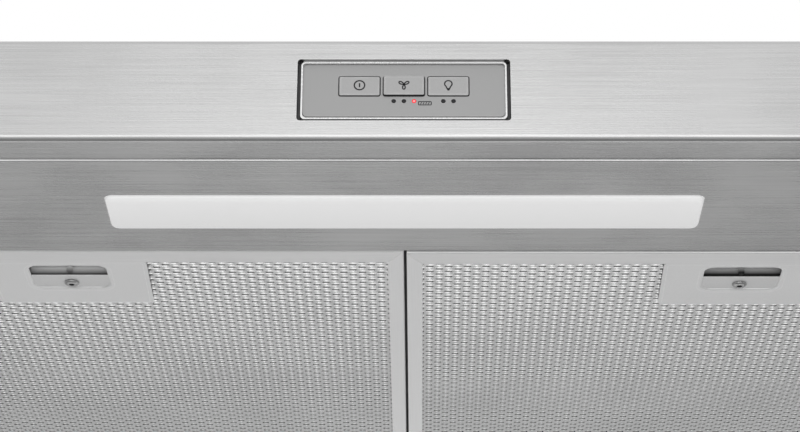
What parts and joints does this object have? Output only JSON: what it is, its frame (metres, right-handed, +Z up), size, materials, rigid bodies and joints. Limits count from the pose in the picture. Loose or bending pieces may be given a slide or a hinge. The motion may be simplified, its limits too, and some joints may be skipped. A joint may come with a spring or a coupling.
{
  "type": "under cabinet range hood",
  "caption": "Brushed steel under-cabinet range hood with push-button controls, frosted light, hinged mesh grease filters and a twin blower with duct collar.",
  "frame": {"origin": "centre of the four cabinet screw slots, on the top face that meets the cabinet", "axes": "+Z up to the cabinet, -Y out of the front band, +Y to the wall, +X to the right as seen from the front"},
  "size_m": [0.759, 0.5, 0.181],
  "materials": {
    "stainless": "horizontally brushed satin",
    "stainless_under": "horizontally brushed satin",
    "galvanised": "galvanised sheet",
    "screw_steel": "plated",
    "control_silver": "silver lacquered",
    "control_grey": "fine satin grey",
    "button_grey": "fine satin grey",
    "lens_black": "gloss",
    "lens_red": "gloss, lit",
    "lens_frosted": "frosted translucent",
    "led_white": "solder mask",
    "board_green": "solder mask",
    "black_plastic": "moulded",
    "white_plastic": "moulded",
    "blower_black": "moulded, glass filled",
    "motor_grey": "enamel",
    "bearing_steel": "ground",
    "shaft_steel": "ground",
    "ivory_plastic": "moulded",
    "wire_black": "sleeved",
    "ground_green": "dyed",
    "filter_aluminium": "satin anodised",
    "mesh_aluminium": "bright expanded mesh",
    "latch_grey": "satin",
    "slider_grey": "moulded",
    "spring_steel": "drawn wire",
    "damper_aluminium": "mill"
  },
  "bodies": {
    "hood": {"canopy_front": "stainless", "side_panel_left": "stainless", "side_panel_right": "stainless", "side_rail_left": "stainless", "side_rail_right": "stainless", "rear_rail": "stainless", "light_panel": "stainless_under", "centre_divider": "galvanised", "top_panel": "galvanised", "back_panel": "galvanised", "rear_duct_blank": "galvanised", "panel_screws": "screw_steel", "control_tray": "control_silver", "control_face": "control_grey", "control_board": "board_green", "tact_switches": "black_plastic", "indicator_lenses": "lens_black", "filter_indicator": "lens_red", "light_lens": "lens_frosted", "lamp_tray": "galvanised", "led_board": "led_white", "led_driver": "white_plastic", "blower_housing_left": "galvanised", "blower_housing_right": "galvanised", "inlet_ring_left": "galvanised", "inlet_ring_right": "galvanised", "motor_bracket": "galvanised", "motor_case": "motor_grey", "motor_bearings": "bearing_steel", "run_capacitor": "ivory_plastic", "duct_collar": "galvanised", "junction_box": "galvanised", "junction_cover": "galvanised", "terminal_block": "white_plastic", "ground_screw": "ground_green", "wiring_harness": "wire_black"},
    "blower_rotor": {"fan_wheel_left": "blower_black", "fan_wheel_right": "blower_black", "motor_shaft": "shaft_steel"},
    "damper": {"damper_flap": "damper_aluminium", "damper_pin": "shaft_steel"},
    "power_button": {"button_power": "button_grey"},
    "fan_button": {"button_fan": "button_grey"},
    "light_button": {"button_light": "button_grey"},
    "filter_left": {"filter_frame_left": "filter_aluminium", "filter_mesh_left": "mesh_aluminium", "filter_pad_left": "mesh_aluminium", "latch_plate_left": "latch_grey", "latch_rivet_left": "screw_steel", "latch_spring_left": "spring_steel"},
    "latch_left": {"latch_slider_left": "slider_grey"},
    "filter_right": {"filter_frame_right": "filter_aluminium", "filter_mesh_right": "mesh_aluminium", "filter_pad_right": "mesh_aluminium", "latch_plate_right": "latch_grey", "latch_rivet_right": "screw_steel", "latch_spring_right": "spring_steel"},
    "latch_right": {"latch_slider_right": "slider_grey"}
  },
  "joints": [
    {"name": "rotor_spin", "type": "hinge", "parent": "hood", "child": "blower_rotor", "pos_m": [0, 0.043, -0.058], "axis": [1, 0, 0], "continuous": true},
    {"name": "damper_swing", "type": "hinge", "parent": "hood", "child": "damper", "pos_m": [0, 0.1156, 0.0064], "axis": [-1, 0, 0], "range_deg": [0, 75]},
    {"name": "power_press", "type": "slide", "parent": "hood", "child": "power_button", "axis": [0, 1, 0], "range_m": [0, 0.001], "stiffness_N_per_m": 1500, "springref_m": -0.0005},
    {"name": "fan_press", "type": "slide", "parent": "hood", "child": "fan_button", "axis": [0, 1, 0], "range_m": [0, 0.001], "stiffness_N_per_m": 1500, "springref_m": -0.0005},
    {"name": "light_press", "type": "slide", "parent": "hood", "child": "light_button", "axis": [0, 1, 0], "range_m": [0, 0.001], "stiffness_N_per_m": 1500, "springref_m": -0.0005},
    {"name": "filter_left_swing", "type": "hinge", "parent": "hood", "child": "filter_left", "pos_m": [-0.17575, 0.12075, -0.1414], "axis": [1, 0, 0], "range_deg": [0, 60]},
    {"name": "latch_left_slide", "type": "slide", "parent": "filter_left", "child": "latch_left", "axis": [0, 1, 0], "range_m": [0, 0.0045], "stiffness_N_per_m": 400, "springref_m": -0.005, "deforming": ["latch_spring_left"]},
    {"name": "filter_right_swing", "type": "hinge", "parent": "hood", "child": "filter_right", "pos_m": [0.17575, 0.12075, -0.1424], "axis": [1, 0, 0], "range_deg": [0, 60]},
    {"name": "latch_right_slide", "type": "slide", "parent": "filter_right", "child": "latch_right", "axis": [0, 1, 0], "range_m": [0, 0.0045], "stiffness_N_per_m": 400, "springref_m": -0.005, "deforming": ["latch_spring_right"]}
  ]
}
